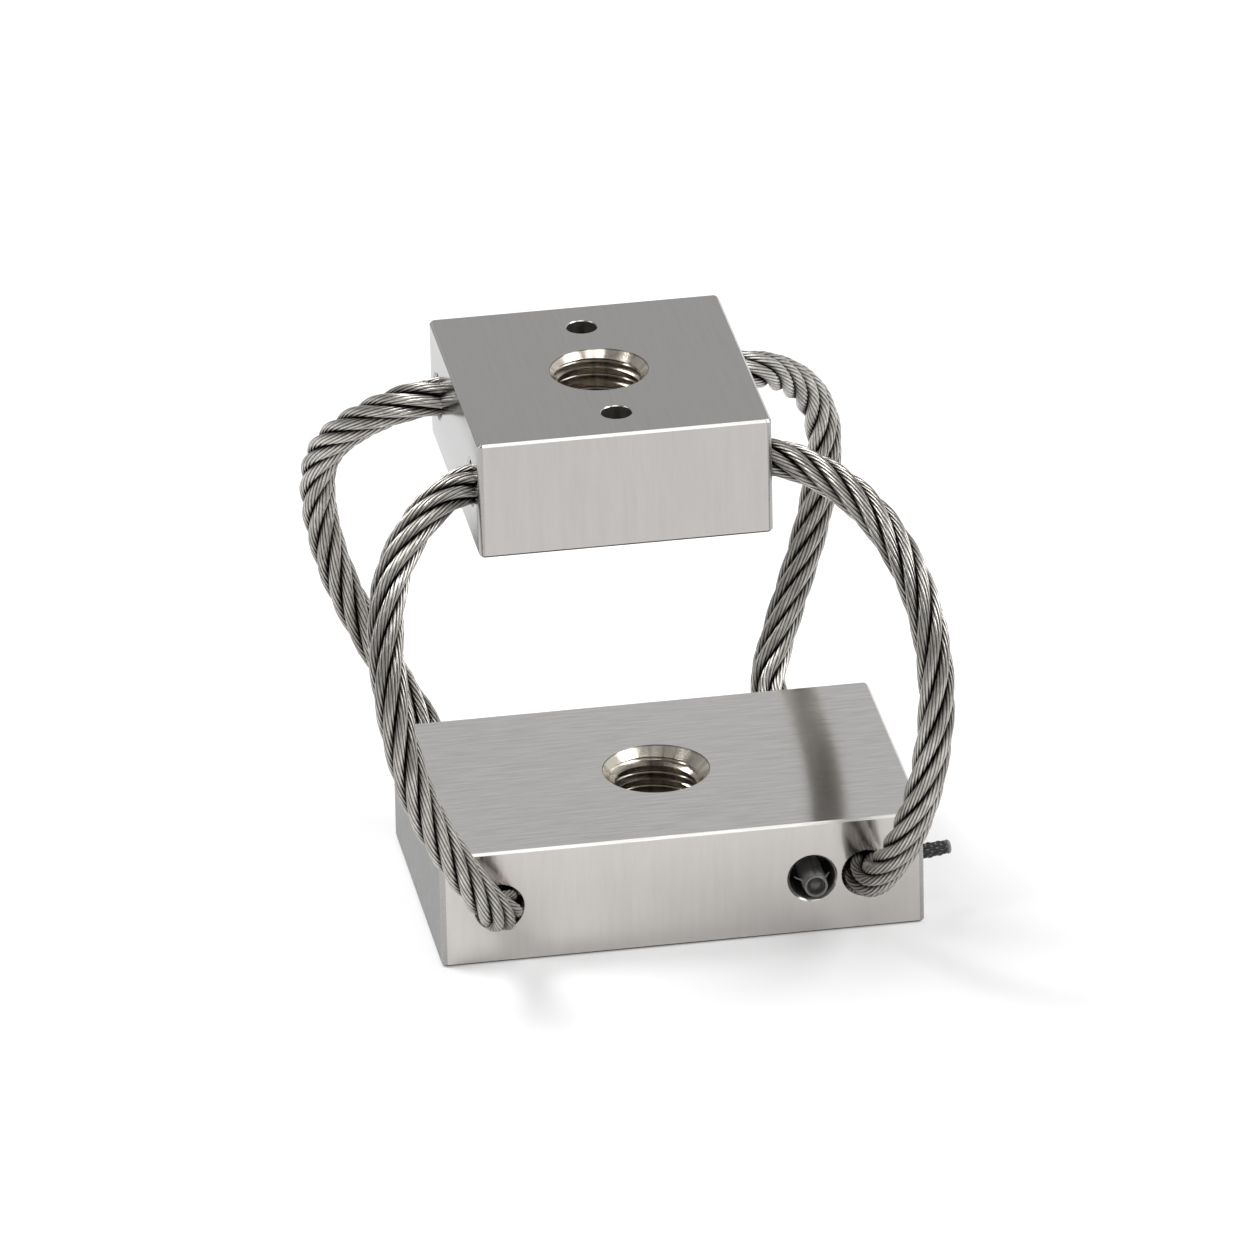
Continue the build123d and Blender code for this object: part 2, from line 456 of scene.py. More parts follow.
# The base's front is painted lighter than the top block's front. This is painted light against the
# floor's shade that it reflects near the base.
steel_base_front = brushed(
    "brushed_base_front", (0.53, 0.506, 0.487), ALONG_Z, 0.2, streak=0.4, smear=(0, 0, 1)
)
steel_top_front = brushed(
    "brushed_top_front", (0.445, 0.427, 0.414), ALONG_Z, 0.2, streak=0.4, smear=(0, 0, 1)
)
steel_base_ends = brushed(
    "brushed_base_ends", (0.52, 0.517, 0.513), ALONG_Z, 0.28, streak=0.3, glance=0.5
)
steel_top_ends = brushed(
    "brushed_top_ends", (0.49, 0.488, 0.485), ALONG_Z, 0.14, streak=0.3, glance=0.72
)
steel_shaded_edges = brushed("shaded_edges", (0.36, 0.35, 0.34), ALONG_X, 0.24, streak=0.3)
steel_edges = brushed("bright_edges", (0.50, 0.49, 0.475), ALONG_X, 0.22, streak=0.3)
steel_bores = brushed("drilled_bores", (0.43, 0.405, 0.38), ALONG_Z, 0.4, streak=0.8)
# Near black edges underneath: painted shadow along the blocks' lower edges
steel_under_shade = brushed("shaded_under_edges", (0.10, 0.097, 0.094), ALONG_X, 0.3, streak=0.3)
steel_base_sink = polished(
    "base_countersink", (0.70, 0.65, 0.565), 0.16, base_middle, BASE_COUNTERSINK
)
steel_top_sink = polished(
    "top_countersink", (0.62, 0.572, 0.495), 0.16, top_middle, TOP_COUNTERSINK
)
steel_base_thread = polished(
    "base_thread_steel", (0.52, 0.475, 0.41), 0.15, base_middle, BASE_COUNTERSINK
)
steel_top_thread = polished(
    "top_thread_steel", (0.52, 0.475, 0.41), 0.15, top_middle, TOP_COUNTERSINK
)
# Darker than the bores: painted shade in the set screws' holes
steel_shaded_holes = brushed("shaded_screw_holes", (0.31, 0.295, 0.28), ALONG_Z, 0.35, streak=0.8)
wire_material = rope_wire("rope_wire")
screw_material = brushed("screw_steel", (0.26, 0.25, 0.24), ALONG_Z, 0.3, streak=0.5)
sleeve_material = black_part("black_sleeve", (0.07, 0.068, 0.065), 0.12, 1500.0, 0.05)
pin_material = black_part("black_pin", (0.012, 0.012, 0.012), 0.15, 4000.0, 0.3)


# Blocks


def tap(name, middle, low, high):
    """The tap that cuts a thread: a closed screw surface round the middle axis. Its rows climb
    one pitch a turn, and each row's radius is the major radius less the distance that a rounded
    60 degree flank has fallen: the root of the squared fall plus a small rounding."""
    rows = (math.ceil((high - low) / THREAD_PITCH) + TAP_SPARE_TURNS) * ROWS_PER_PITCH + 1
    row = np.arange(rows)[:, None]
    column = np.arange(COLUMNS_PER_TURN)[None, :]
    part_turn = column / COLUMNS_PER_TURN
    angle = 2 * np.pi * part_turn + 0 * row
    height = low - TAP_START * THREAD_PITCH
    height = height + THREAD_PITCH * (row / ROWS_PER_PITCH + part_turn)
    phase = (row % ROWS_PER_PITCH) / ROWS_PER_PITCH - 0.5
    fall = THREAD_FLANK * np.abs(phase) * THREAD_PITCH
    radius = THREAD_MAJOR - np.sqrt(fall**2 + THREAD_ROUNDING**2) + THREAD_ROUNDING
    radius = np.maximum(radius, THREAD_CUTTER_MINOR) + 0 * column
    x = middle[0] + radius * np.cos(angle) * MM
    y = middle[1] + radius * np.sin(angle) * MM
    points = np.stack([x, y, height * MM], -1).reshape(-1, 3)
    place = row * COLUMNS_PER_TURN + column
    wrapped = np.concatenate([place[:-ROWS_PER_PITCH], place[ROWS_PER_PITCH:, :1]], 1)
    sides = np.stack([wrapped[:-1, :-1], wrapped[:-1, 1:], wrapped[1:, 1:], wrapped[1:, :-1]], -1)
    bottom = np.concatenate([place[0], place[ROWS_PER_PITCH:0:-1, 0]])
    last = rows - 1 - ROWS_PER_PITCH
    top = np.concatenate([place[last], place[last + ROWS_PER_PITCH:last:-1, 0]])
    used = rows * COLUMNS_PER_TURN
    ends = [(middle[0], middle[1], (low - 2 * THREAD_PITCH) * MM)]
    ends.append((middle[0], middle[1], points[place[last, 0], 2] + THREAD_PITCH * MM / 2))
    points = np.concatenate([points, ends])
    faces = sides.reshape(-1, 4).tolist()
    faces += np.stack([np.roll(bottom, -1), bottom, np.full(len(bottom), used)], -1).tolist()
    faces += np.stack([top, np.roll(top, -1), np.full(len(top), used + 1)], -1).tolist()
    kept = np.unique(np.concatenate([np.ravel(face) for face in faces]))
    order = np.zeros(len(points), int)
    order[kept] = np.arange(len(kept))
    faces = [[int(order[corner]) for corner in face] for face in faces]
    return surface(name, points[kept], faces, steel_bores)


def rim_cutter(name, places, face, outwards):
    """What cuts the small chamfers round a face's screw holes: a closed cone for each, whose
    radius is the hole's and the chamfer's together, plus the height above the face."""
    height = np.array([CUTTER_FOOT, CUTTER_TOP])
    radius = SCREW_HOLE_RADIUS + SCREW_HOLE_CHAMFER + height
    columns = 64
    turn = turns(columns)
    ring = np.stack([np.cos(turn), outwards * np.sin(turn)], -1)
    points = []
    faces = []
    for place in places:
        first = len(points)
        for rise, reach in zip(height, radius):
            points += [(x, y, face + outwards * rise) for x, y in place + ring * reach]
        points += [(*place, face + outwards * rise) for rise in height]
        faces += [[first + corner for corner in corners] for corners in tube_faces(2, columns)]
    return surface(name, np.array(points) * MM, faces, steel_edges)


def merged_copy(name, node):
    """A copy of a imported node's mesh with its loose triangles joined."""
    mesh = nodes[node].data.copy()
    mesh.name = name
    if "custom_normal" in mesh.attributes:
        mesh.attributes.remove(mesh.attributes["custom_normal"])
    made = new_object(name, mesh)
    weld = made.modifiers.new("weld", "WELD")
    weld.merge_threshold = 1e-7
    return made


def apply_modifiers(piece):
    """Replaces a piece's mesh by what its modifiers make of it."""
    graph = bpy.context.evaluated_depsgraph_get()
    mesh = bpy.data.meshes.new_from_object(piece.evaluated_get(graph))
    piece.modifiers.clear()
    piece.data = mesh


def dress_block(piece, middle, half, finishes, countersink):
    """Gives each face of a block its finish by where it lies and which way it points."""
    mesh = piece.data
    mesh.materials.clear()
    for finish in finishes:
        mesh.materials.append(finish)
    count = len(mesh.polygons)
    normal = np.zeros(count * 3)
    centre = np.zeros(count * 3)
    mesh.polygons.foreach_get("normal", normal)
    mesh.polygons.foreach_get("center", centre)
    normal = normal.reshape(-1, 3)
    reach = np.abs(centre.reshape(-1, 3) - middle)
    # Edges that face sideways get a darker finish, and those that face down a near black one:
    # painted shade
    slot = np.where(normal[:, 2] < 0.3, SHADED_EDGE, BRIGHT_EDGE)
    slot[normal[:, 2] < -0.3] = UNDER_SHADE
    normal = np.abs(normal)
    on_skin = np.abs(reach - half) < SKIN * MM
    for axis, outer in ((2, LEVEL), (1, UPRIGHT), (0, ENDS)):
        slot[on_skin[:, axis] & (normal[:, axis] > 0.99)] = outer
    inside = (reach < half - SKIN * MM).all(1)
    within = inside & ((reach > half - EDGE_STRIP * MM).sum(1) < 2)
    mouth = (reach[:, :2] > half[:2] - MOUTH_DEPTH * MM).any(1)
    rim = reach[:, 2] > half[2] - (SCREW_HOLE_CHAMFER + SKIN) * MM
    slot[within & ~mouth] = BORE
    # The set screws' holes take the darker finish of painted shade
    slot[within & (reach[:, 2] > BORE_RADIUS * MM) & (normal[:, 2] < 0.1)] = HOLE
    slot[within & (mouth | rim)] = BRIGHT_EDGE
    hole_radius = (countersink - HOLE_MARGIN) * MM
    in_hole = inside & (np.hypot(reach[:, 0], reach[:, 1]) < hole_radius)
    slot[in_hole] = THREAD
    sink_floor = half[2] - (countersink - THREAD_DRILL + SINK_MARGIN) * MM
    slot[in_hole & (reach[:, 2] > sink_floor)] = SINK
    mesh.polygons.foreach_set("material_index", slot)
    mesh.update()


def block_finishes(level, upright, ends, sink, thread):
    """A block's finishes in the order of its slots: its own, and those that both blocks have."""
    shared = [steel_shaded_edges, steel_under_shade, steel_shaded_holes]
    return [level, upright, ends, steel_edges, steel_bores, sink, thread, *shared]


def block(name, node, body, finishes, countersink, rims):
    """A block of the frame with its thread and its screw holes' chamfers really cut."""
    low, high = (np.array(corner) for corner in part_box(node))
    middle = (low + high) / 2
    piece = merged_copy(name, node)
    cutters = [tap(name + "_tap", middle, low[2] / MM, high[2] / MM), rims]
    for cutter in cutters:
        cut = piece.modifiers.new(cutter.name, "BOOLEAN")
        cut.operation = "DIFFERENCE"
        cut.solver = "EXACT"
        cut.object = cutter
    apply_modifiers(piece)
    for cutter in cutters:
        bpy.data.objects.remove(cutter)
    piece.data.shade_smooth()
    piece.data.set_sharp_from_angle(angle=math.radians(32))
    dress_block(piece, middle, (high - low) / 2, finishes, countersink)
    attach(piece, body)
    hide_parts(node)


base_finishes = block_finishes(
    steel_base_top, steel_base_front, steel_base_ends, steel_base_sink, steel_base_thread
)
top_finishes = block_finishes(
    steel_top_face, steel_top_front, steel_top_ends, steel_top_sink, steel_top_thread
)
base_holes = [(-base_bore_x, 0.0), (base_bore_x, 0.0)]
top_holes = [(top_middle[0] / MM, -top_bore_y), (top_middle[0] / MM, top_bore_y)]
base_rims = rim_cutter("base_rims", base_holes, base_low[2] / MM, -1)
top_rims = rim_cutter("top_rims", top_holes, top_high[2] / MM, 1)
block("base_block_tapped", "base_block", "base", base_finishes, BASE_COUNTERSINK, base_rims)
block("top_block_tapped", "top_block", "top", top_finishes, TOP_COUNTERSINK, top_rims)


# Wire rope


def leg(side_x, side_y, past_base, past_top):
    """One rope leg's points, upwards: each is so far out along X, out along Y and up from
    the mouth of the base's bore or of the top block's bore."""
    base_mouth = (side_x * base_bore_x, side_y * base_high[1] / MM, base_middle[2] / MM)
    top_x = top_middle[0] / MM + side_x * (top_high[0] - top_low[0]) / 2 / MM
    top_mouth = (top_x, side_y * top_bore_y, top_middle[2] / MM)
    points = []
    for mouth, offsets in ((base_mouth, past_base), (top_mouth, past_top)):
        for out_x, out_y, up in offsets:
            points.append((mouth[0] + side_x * out_x, mouth[1] + side_y * out_y, mouth[2] + up))
    return points


front_right_leg = leg(
    1,
    -1,
    past_base=[(0.0, 1.8, 0.0), (0.7, 6.2, 3.6), (1.7, 10.4, 8.5), (3.0, 13.0, 15.2)],
    past_top=[(11.1, 16.7, -13.7), (10.3, 13.0, -6.5), (7.2, 7.0, -1.6), (1.8, 0.0, 0.0)],
)
front_left_leg = leg(
    -1,
    -1,
    past_base=[(0.0, 3.0, 0.0), (4.2, 6.9, 7.2), (7.7, 8.1, 14.4)],
    past_top=[(8.4, 10.8, -15.0), (8.6, 7.6, -8.9), (6.9, 3.8, -4.1), (1.8, 0.0, 0.0)],
)
rear_left_leg = leg(
    -1,
    1,
    past_base=[(0.0, 3.0, 0.0), (4.2, 7.7, 7.0), (7.7, 9.3, 14.4)],
    past_top=[(8.6, 12.2, -14.6), (8.7, 8.9, -8.3), (6.0, 4.4, -3.7), (1.8, 0.0, 0.0)],
)
rear_right_leg = leg(
    1,
    1,
    past_base=[(0.0, 1.8, 0.0), (-3.2, 5.7, 1.5), (-0.9, 8.9, 6.5), (2.4, 11.1, 14.5)],
    past_top=[(10.8, 14.7, -14.2), (9.1, 11.1, -8.1), (5.6, 5.8, -3.4), (1.8, 0.0, 0.0)],
)


def bore_points(before, after, reach):
    """Two points that keep the rope straight in a bore, each so far inside its corner."""
    start = np.array(before)
    end = np.array(after)
    along = (end - start) / np.linalg.norm(end - start)
    return [tuple(start + along * reach), tuple(end - along * reach)]


def rope_route():
    """The rope's control points in millimetres, from end to end, with the bores' points."""
    x = base_bore_x
    z = base_middle[2] / MM
    down_left = front_left_leg[::-1]
    down_right = rear_right_leg[::-1]
    points = [(x, -ROPE_END_GAP / 2, z), (x, -END_STRAIGHT, z)]
    points += front_right_leg + bore_points(front_right_leg[-1], down_left[0], TOP_STRAIGHT)
    points += down_left + bore_points(down_left[-1], rear_left_leg[0], BASE_STRAIGHT)
    points += rear_left_leg + bore_points(rear_left_leg[-1], down_right[0], TOP_STRAIGHT)
    points += down_right + [(x, END_STRAIGHT, z), (x, ROPE_END_GAP / 2, z)]
    return points


def route_line(points):
    """Points along the route's smooth curve, evenly spaced, in millimetres."""
    curve = bpy.data.curves.new("rope_route", "CURVE")
    curve.dimensions = "3D"
    spline = curve.splines.new("NURBS")
    spline.points.add(len(points) - 1)
    for point, place in zip(spline.points, points):
        point.co = (*(value * MM for value in place), 1.0)
    spline.order_u = 3
    spline.use_endpoint_u = True
    spline.resolution_u = 40
    holder = bpy.data.objects.new("rope_route", curve)
    mesh = bpy.data.meshes.new_from_object(holder)
    line = np.zeros(len(mesh.vertices) * 3)
    mesh.vertices.foreach_get("co", line)
    line = line.reshape(-1, 3) / MM
    bpy.data.objects.remove(holder)
    bpy.data.meshes.remove(mesh)
    step = np.linalg.norm(np.diff(line, axis=0), axis=1)
    line = line[np.concatenate([[True], step > 1e-6])]
    travel = np.concatenate([[0], np.cumsum(np.linalg.norm(np.diff(line, axis=0), axis=1))])
    count = int(round(travel[-1] / RING_STEP)) + 1
    even = np.linspace(0, travel[-1], count)
    return np.stack([np.interp(even, travel, line[:, axis]) for axis in range(3)], -1), even


def carried_frames(line):
    """Directions along a line and across it, where the across ones never spin about the line."""
    along = np.gradient(line, axis=0)
    along /= np.linalg.norm(along, axis=1)[:, None]
    across = np.zeros_like(line)
    across[0] = (0, 0, 1)
    for place in range(1, len(line)):
        carried = across[place - 1] - along[place] * (across[place - 1] @ along[place])
        across[place] = carried / np.linalg.norm(carried)
    return along, across, np.cross(along, across)


def bend_of(along):
    """How sharply a line turns, from its direction at each point, in radians a millimetre."""
    return np.linalg.norm(np.gradient(along, axis=0), axis=1) / RING_STEP


def splay_of(line, travel):
    """How far the strands open just outside each bore's mouth: the sum over the mouths of
    share times exp(-((distance - start) / reach) squared), distance measured outwards."""
    in_base = (line[:, 2] < base_high[2] / MM) & (np.abs(line[:, 1]) < base_high[1] / MM)
    in_top = (line[:, 0] > top_low[0] / MM) & (line[:, 0] < top_high[0] / MM)
    in_top &= line[:, 2] > top_low[2] / MM
    crossings = np.flatnonzero(np.diff((in_base | in_top).astype(int)))
    splay = np.zeros(len(line))
    outwards = 1
    for place, share in zip(crossings, MOUTH_SPLAY):
        distance = outwards * (travel - travel[place])
        splay += share * np.exp(-(((distance - SPLAY_START) / SPLAY_REACH) ** 2))
        outwards = -outwards
    return splay


def strand(name, line, travel, frames, number):
    """One strand: its centre circles the rope's line once in each lay, and its section is the
    outline of a ring of wires, radius r = c cos d + sqrt(w squared - (c sin d) squared), where
    d is the angle to the nearest wire's centre, c the wires' circle and w their radius.
    The section turns against the lay, as ordinary lay rope does. The groove value is painted
    shade in the valleys between the wires and on the side that faces the core, and by a random
    share it dulls each wire."""
    along, across, beside = frames
    angle = 2 * np.pi * (travel / ROPE_LAY + number / STRANDS)
    bend = np.clip(bend_of(along) / SHARP_BEND, 0, 1)
    spread = 1 + BEND_SPREAD * bend + splay_of(line, travel)
    circle = (STRAND_CIRCLE * spread)[:, None]
    outward = across * np.cos(angle)[:, None] + beside * np.sin(angle)[:, None]
    round_way = np.cross(along, outward)
    centre = line + outward * circle
    climb = 2 * np.pi * STRAND_CIRCLE / ROPE_LAY
    heading = along + round_way * climb
    heading /= np.linalg.norm(heading, axis=1)[:, None]
    sideways = np.cross(heading, outward)
    columns = WIRES * COLUMNS_PER_WIRE
    turn = turns(columns)
    wire_angle = 2 * np.pi / WIRES
    off = (turn + wire_angle / 2) % wire_angle - wire_angle / 2
    wire_circle = STRAND_RADIUS - WIRE_RADIUS
    hidden = np.clip(WIRE_RADIUS**2 - (wire_circle * np.sin(off)) ** 2, 0, None)
    radius = wire_circle * np.cos(off) + np.sqrt(hidden)
    outer_radius = STRAND_CIRCLE + STRAND_RADIUS
    twist = -WIRE_SLANT * outer_radius / STRAND_RADIUS * 2 * np.pi / ROPE_LAY
    spin = turn[None, :] + (twist * travel)[:, None]
    out = np.cos(spin)[..., None] * outward[:, None, :]
    side = np.sin(spin)[..., None] * sideways[:, None, :]
    rings = centre[:, None, :] + radius[None, :, None] * (out + side)
    piece = closed_tube(name, rings, centre, wire_material)
    valley = (STRAND_RADIUS - radius) / (STRAND_RADIUS - radius.min())
    # Painted shade on the side that faces the core and in the valleys. The random dullness is each
    # wire's own tone.
    inner_side_shade = np.clip((INNER_START - np.cos(spin)) / INNER_SPAN, 0, 1)
    dull = np.random.default_rng(number).uniform(0, WIRE_DULLNESS, WIRES)
    wire = np.arange(columns) * WIRES / columns
    dull = dull[np.round(wire).astype(int) % WIRES]
    valley_shade = VALLEY_SHADE * valley[None, :] ** VALLEY_POWER
    groove = np.clip(valley_shade + dull[None, :] + inner_side_shade, 0, 1)
    mark_points(piece, "groove", np.concatenate([groove.ravel(), [1, 1]]))
    return piece


def plain_core(name, line, frames):
    """The rope's core: a plain round tube along its line, hardly seen between the strands, and
    painted all in the near black shade of the grooves.
    """
    across, beside = frames[1:]
    turn = turns(16)[None, :, None]
    ring = np.cos(turn) * across[:, None, :] + np.sin(turn) * beside[:, None, :]
    piece = closed_tube(name, line[:, None, :] + CORE_RADIUS * ring, line, wire_material)
    # The whole core is painted shade
    mark_points(piece, "groove", np.ones(len(piece.data.vertices)))
    return piece


rope_line, rope_travel = route_line(rope_route())
rope_frames = carried_frames(rope_line)
rope_pieces = [plain_core("rope_core", rope_line, rope_frames)]
for number in range(STRANDS):
    name = "rope_strand_" + str(number + 1)
    rope_pieces.append(strand(name, rope_line, rope_travel, rope_frames, number))
for piece in rope_pieces:
    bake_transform(piece)
    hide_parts("wire_rope")


# Small parts


def turned(name, start, along, across, distance, radius, material, wear_and_painted_light):
    """A turned piece: the point at distance t and turn a is start + along t + radius(t, a)
    times (across cos a + beside sin a), with a fan over each end. The last argument gives a value
    for each t of wear, and of painted light on the sleeve's outside."""
    beside = np.cross(along, across)
    columns = radius.shape[1]
    turn = turns(columns)
    ring = np.cos(turn)[:, None] * across + np.sin(turn)[:, None] * beside
    axis = start + distance[:, None] * along
    rings = axis[:, None, :] + radius[..., None] * ring[None, :, :]
    piece = closed_tube(name, rings, axis, material)
    mark_points(piece, "wear_and_painted_light", np.concatenate([np.repeat(wear_and_painted_light, columns), wear_and_painted_light[[0, -1]]]))
    return piece


def rounded_profile(parts):
    """Joins a turned piece's runs and arcs into one list of distances and one of radii. An arc
    is (middle distance, middle radius, arc radius, first angle, last angle) in degrees."""
    distance, radius = [], []
    for part in parts:
        if len(part) == 2:
            distance.append([part[0]])
            radius.append([part[1]])
        else:
            angle = np.radians(np.linspace(part[3], part[4], ARC_POINTS))
            distance.append(part[0] - part[2] * np.cos(angle))
            radius.append(part[1] + part[2] * np.sin(angle))
    return np.concatenate(distance), np.concatenate(radius)


def black_sleeve():
    """The sleeve in the third bore: round lips at its open end, a hollow with a domed floor,
    a seam along its top, and a wider collar further in."""
    low, high = (np.array(corner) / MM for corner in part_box("spare_bore_sleeve"))
    outer = (high[0] - low[0]) / 2
    centre = np.array([(low[0] + high[0]) / 2, low[1], low[2] + outer])
    neck = outer - SLEEVE_NECK
    lip = SLEEVE_LIP
    wall = SLEEVE_WALL
    hollow = [
        (0.20, 0.02),
        (0.21, 0.12),
        (0.25, 0.26),
        (0.33, 0.42),
        (0.45, 0.56),
        (0.55, neck - wall - 0.05),
        (0.50, neck - wall - 0.01),
        (0.25, neck - wall),
    ]
    outside = [(0.4, neck), (0.7, outer - 0.03), (0.95, outer), (8.8, outer), (9.0, outer - 0.2)]
    distance, radius = rounded_profile([*hollow, (lip, neck - lip, lip, -90, 90), *outside])
    is_outside = np.arange(len(distance)) >= len(hollow) + ARC_POINTS
    turn = turns(96)
    from_top = np.abs((turn + np.pi) % (2 * np.pi) - np.pi)
    seam = SEAM_DEPTH * np.exp(-((from_top * outer / SEAM_WIDTH) ** 2))
    rings = radius[:, None] - np.where(is_outside[:, None], seam[None, :], 0)
    back = np.array([0.0, 1.0, 0.0])
    up = np.array([0.0, 0.0, 1.0])
    # The lip turns a little grey. The whole outside is lightened towards grey as painted light
    # against the bore's shade.
    wear_and_painted_light = np.where((distance < 0.24) & (radius > neck - wall - 0.01), 0.4, 0.0)
    wear_and_painted_light = np.where(is_outside & (distance > 0.25), 0.9, wear_and_painted_light)
    pieces = [turned("bore_sleeve", centre, back, up, distance, rings, sleeve_material, wear_and_painted_light)]
    for number, (angle, reach, behind) in enumerate(SLEEVE_BARBS):
        pieces.append(barb("sleeve_barb_" + str(number + 1), centre, neck, angle, reach, behind))
    for piece in pieces:
        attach(piece, "base")
        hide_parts("spare_bore_sleeve")


def barb(name, centre, neck, angle, reach, behind):
    """A thin tongue from the sleeve out to the bore's wall: rings of an ellipse whose width
    narrows with distance out, while its middle sweeps back by the square of that distance."""
    away = math.radians(angle)
    outward = np.array([math.sin(away), 0.0, math.cos(away)])
    back = np.array([0.0, 1.0, 0.0])
    flat = np.cross(outward, back)
    share = np.linspace(0, 1, 12)
    middle = centre + outward * (neck - BARB_ROOT + reach * share)[:, None]
    middle = middle + back * (behind + BARB_SWEEP * share**2)[:, None]
    turn = turns(16)[None, :, None]
    width = BARB_WIDTH * (1 - BARB_TAPER * share)
    ring = width[:, None, None] * np.cos(turn) * back
    ring = ring + BARB_THICKNESS * np.sin(turn) * flat
    piece = closed_tube(name, middle[:, None, :] + ring, middle, sleeve_material)
    mark_points(piece, "wear_and_painted_light", np.full(len(piece.data.vertices), 0.8))
    return piece


def ribbed_pin():
    """The pin in the base's right end: its radius falls by the product of two crossed
    helical waves, as a knurled or laid surface does, and its rubbed end is rounded."""
    low, high = (np.array(corner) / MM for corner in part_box("end_pin"))
    outer = (high[1] - low[1]) / 2
    tilt = math.radians(PIN_TILT)
    along = np.array([math.cos(tilt), 0.0, math.sin(tilt)])
    across = np.array([-math.sin(tilt), 0.0, math.cos(tilt)])
    reach = (high[0] - low[0] - 2 * outer * math.sin(tilt)) / math.cos(tilt)
    start_x = low[0] + 2 * outer * math.sin(tilt)
    start = np.array([start_x, (low[1] + high[1]) / 2, base_middle[2] / MM])
    start[2] += (start[0] - base_high[0] / MM) * math.tan(tilt)
    distance = np.linspace(0, reach, 240)
    turn = turns(112)[None, :]
    rise = PIN_RIB_SLOPE * (distance[:, None] / outer)
    waves = np.sin(PIN_RIBS / 2 * (turn + rise)) * np.sin(PIN_RIBS / 2 * (turn - rise))
    left = np.clip((reach - distance) / PIN_CROWN, 0, 1)
    end_fall = PIN_CROWN * (1 - np.sqrt(np.clip(1 - (1 - left) ** 2, 0, 1)))
    end_fall = end_fall + PIN_TAPER * np.clip(distance / reach * 2 - 1, 0, 1)
    ribbed = np.clip(left * 1.4 - 0.4, 0, 1)[:, None]
    groove = PIN_RIB_DEPTH * (1 - np.abs(waves) ** 0.7) * ribbed
    radius = outer - end_fall[:, None] - groove
    wear_and_painted_light = 0.6 * np.clip(1.4 - (reach - distance) / PIN_CROWN, 0, 1)
    piece = turned("ribbed_pin", start, along, across, distance, radius, pin_material, wear_and_painted_light)
    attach(piece, "base")
    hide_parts("end_pin")


def paint(node, material):
    """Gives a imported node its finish."""
    mesh = nodes[node].data
    mesh.materials.clear()
    mesh.materials.append(material)


black_sleeve()
ribbed_pin()
for node in nodes:
    if "rope_screw" in node:
        paint(node, screw_material)


# Camera


def photo_camera():
    """The photograph's camera, turned about the view axis by its roll."""
    azimuth = math.radians(CAMERA_AZIMUTH)
    elevation = math.radians(CAMERA_ELEVATION)
    roll = math.radians(CAMERA_ROLL)
    back = Vector(
        (
            math.sin(azimuth) * math.cos(elevation),
            -math.cos(azimuth) * math.cos(elevation),
            math.sin(elevation),
        )
    )
    level = Vector((0, 0, 1)).cross(back).normalized()
    upward = back.cross(level)
    right = level * math.cos(roll) + upward * math.sin(roll)
    up = upward * math.cos(roll) - level * math.sin(roll)
    place = (back * CAMERA_DISTANCE + right * CAMERA_AIM_RIGHT + up * CAMERA_AIM_UP) * MM
    data = bpy.data.cameras.new("photo_camera")
    data.sensor_width = SENSOR_WIDTH
    data.lens = CAMERA_FOCAL / PHOTO_PIXELS * SENSOR_WIDTH
    data.clip_start = 0.05
    data.clip_end = 50.0
    camera = new_object("photo_camera", data)
    turn = Matrix((right, up, back)).transposed().to_4x4()
    camera.matrix_world = Matrix.Translation(place) @ turn
    bpy.context.scene.camera = camera


# Floor, lamps and world


def pale_floor():
    """A wide white floor under the part."""
    made = Nodes("white_floor")
    made.finish((0.9, 0.9, 0.9), 0.7, metal=0.0)
    glow = made.add("ShaderNodeEmission")
    glow.inputs["Strength"].default_value = 0.995
    rays = made.add("ShaderNodeLightPath")
    seen = made.add("ShaderNodeMath", operation="MULTIPLY")
    seen.inputs[1].default_value = FLOOR_GLOW
    made.join(rays.outputs["Is Camera Ray"], seen.inputs[0])
    share = made.add("ShaderNodeMath", operation="MULTIPLY_ADD")
    share.inputs[1].default_value = REFLECTED_GLOW
    made.join(rays.outputs["Is Glossy Ray"], share.inputs[0])
    made.join(seen.outputs[0], share.inputs[2])
    both = made.add("ShaderNodeMixShader")
    made.join(share.outputs[0], both.inputs[0])
    made.join(made.shader.outputs[0], both.inputs[1])
    made.join(glow.outputs[0], both.inputs[2])
    made.join(both.outputs[0], made.tree.nodes["Material Output"].inputs["Surface"])
    corners = [(-1, -1), (1, -1), (1, 1), (-1, 1)]
    points = [(x * FLOOR_REACH, y * FLOOR_REACH, FLOOR_HEIGHT) for x, y in corners]
    floor = surface("floor", points, [(0, 1, 2, 3)], made.material)


def softbox(name, place, aim, width, height, power):
    """A soft rectangular lamp at a place, facing another."""
    data = bpy.data.lights.new(name, "AREA")
    data.shape = "RECTANGLE"
    data.size = width
    data.size_y = height
    data.energy = power
    lamp = new_object(name, data)
    away = Vector(place) - Vector(aim)
    turn = away.to_track_quat("Z", "Y").to_matrix().to_4x4()
    lamp.matrix_world = Matrix.Translation(place) @ turn


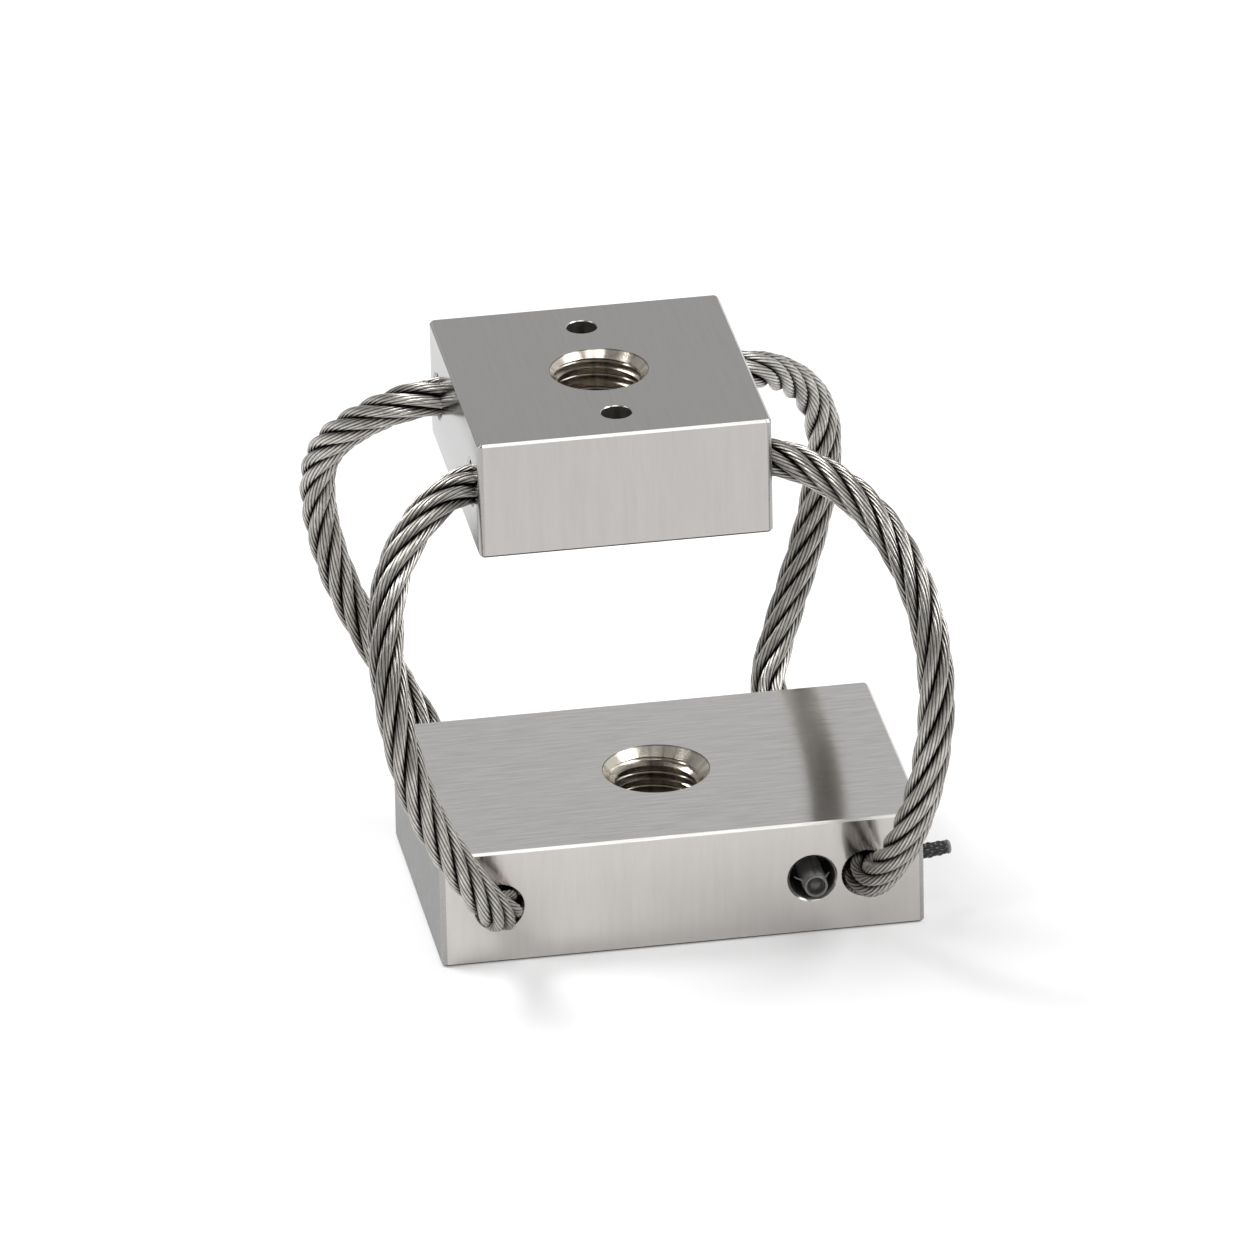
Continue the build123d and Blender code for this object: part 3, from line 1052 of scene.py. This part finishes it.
def studio_world():
    """A pale room that darkens with height, to the left and to the front: white to the camera,
    graded to everything else."""
    world = bpy.data.worlds.new("studio")
    bpy.context.scene.world = world
    world.use_nodes = True
    tree = world.node_tree
    tree.nodes.clear()
    place = tree.nodes.new("ShaderNodeTexCoord")
    split = tree.nodes.new("ShaderNodeSeparateXYZ")
    ramp = tree.nodes.new("ShaderNodeValToRGB")
    tree.links.new(place.outputs["Generated"], split.inputs[0])
    tree.links.new(split.outputs["Z"], ramp.inputs[0])
    ramp.color_ramp.elements.remove(ramp.color_ramp.elements[1])
    for index, (height, level) in enumerate(ROOM_LEVELS):
        if index:
            stop = ramp.color_ramp.elements.new(height)
        else:
            stop = ramp.color_ramp.elements[0]
            stop.position = height
        stop.color = (level, level, level, 1)
    room = tree.nodes.new("ShaderNodeBackground")
    white = tree.nodes.new("ShaderNodeBackground")
    white.inputs["Strength"].default_value = 1.0
    white.inputs["Color"].default_value = (1, 1, 1, 1)
    tree.links.new(ramp.outputs[0], room.inputs["Color"])
    strength = tree.nodes.new("ShaderNodeMath")
    strength.operation = "MULTIPLY"
    tree.links.new(strength.outputs[0], room.inputs["Strength"])
    for index, (axis, values) in enumerate(ROOM_SIDES):
        fall = tree.nodes.new("ShaderNodeMapRange")
        for socket, value in zip(("From Min", "From Max", "To Min", "To Max"), values):
            fall.inputs[socket].default_value = value
        tree.links.new(split.outputs[axis], fall.inputs["Value"])
        tree.links.new(fall.outputs[0], strength.inputs[index])
    rays = tree.nodes.new("ShaderNodeLightPath")
    choose = tree.nodes.new("ShaderNodeMixShader")
    tree.links.new(rays.outputs["Is Camera Ray"], choose.inputs[0])
    tree.links.new(room.outputs[0], choose.inputs[1])
    tree.links.new(white.outputs[0], choose.inputs[2])
    output = tree.nodes.new("ShaderNodeOutputWorld")
    tree.links.new(choose.outputs[0], output.inputs["Surface"])


photo_camera()
pale_floor()
for name, place, width, height, power in LAMPS:
    softbox(name, place, LAMP_AIM, width, height, power)
studio_world()
bpy.context.scene.view_settings.view_transform = "Standard"
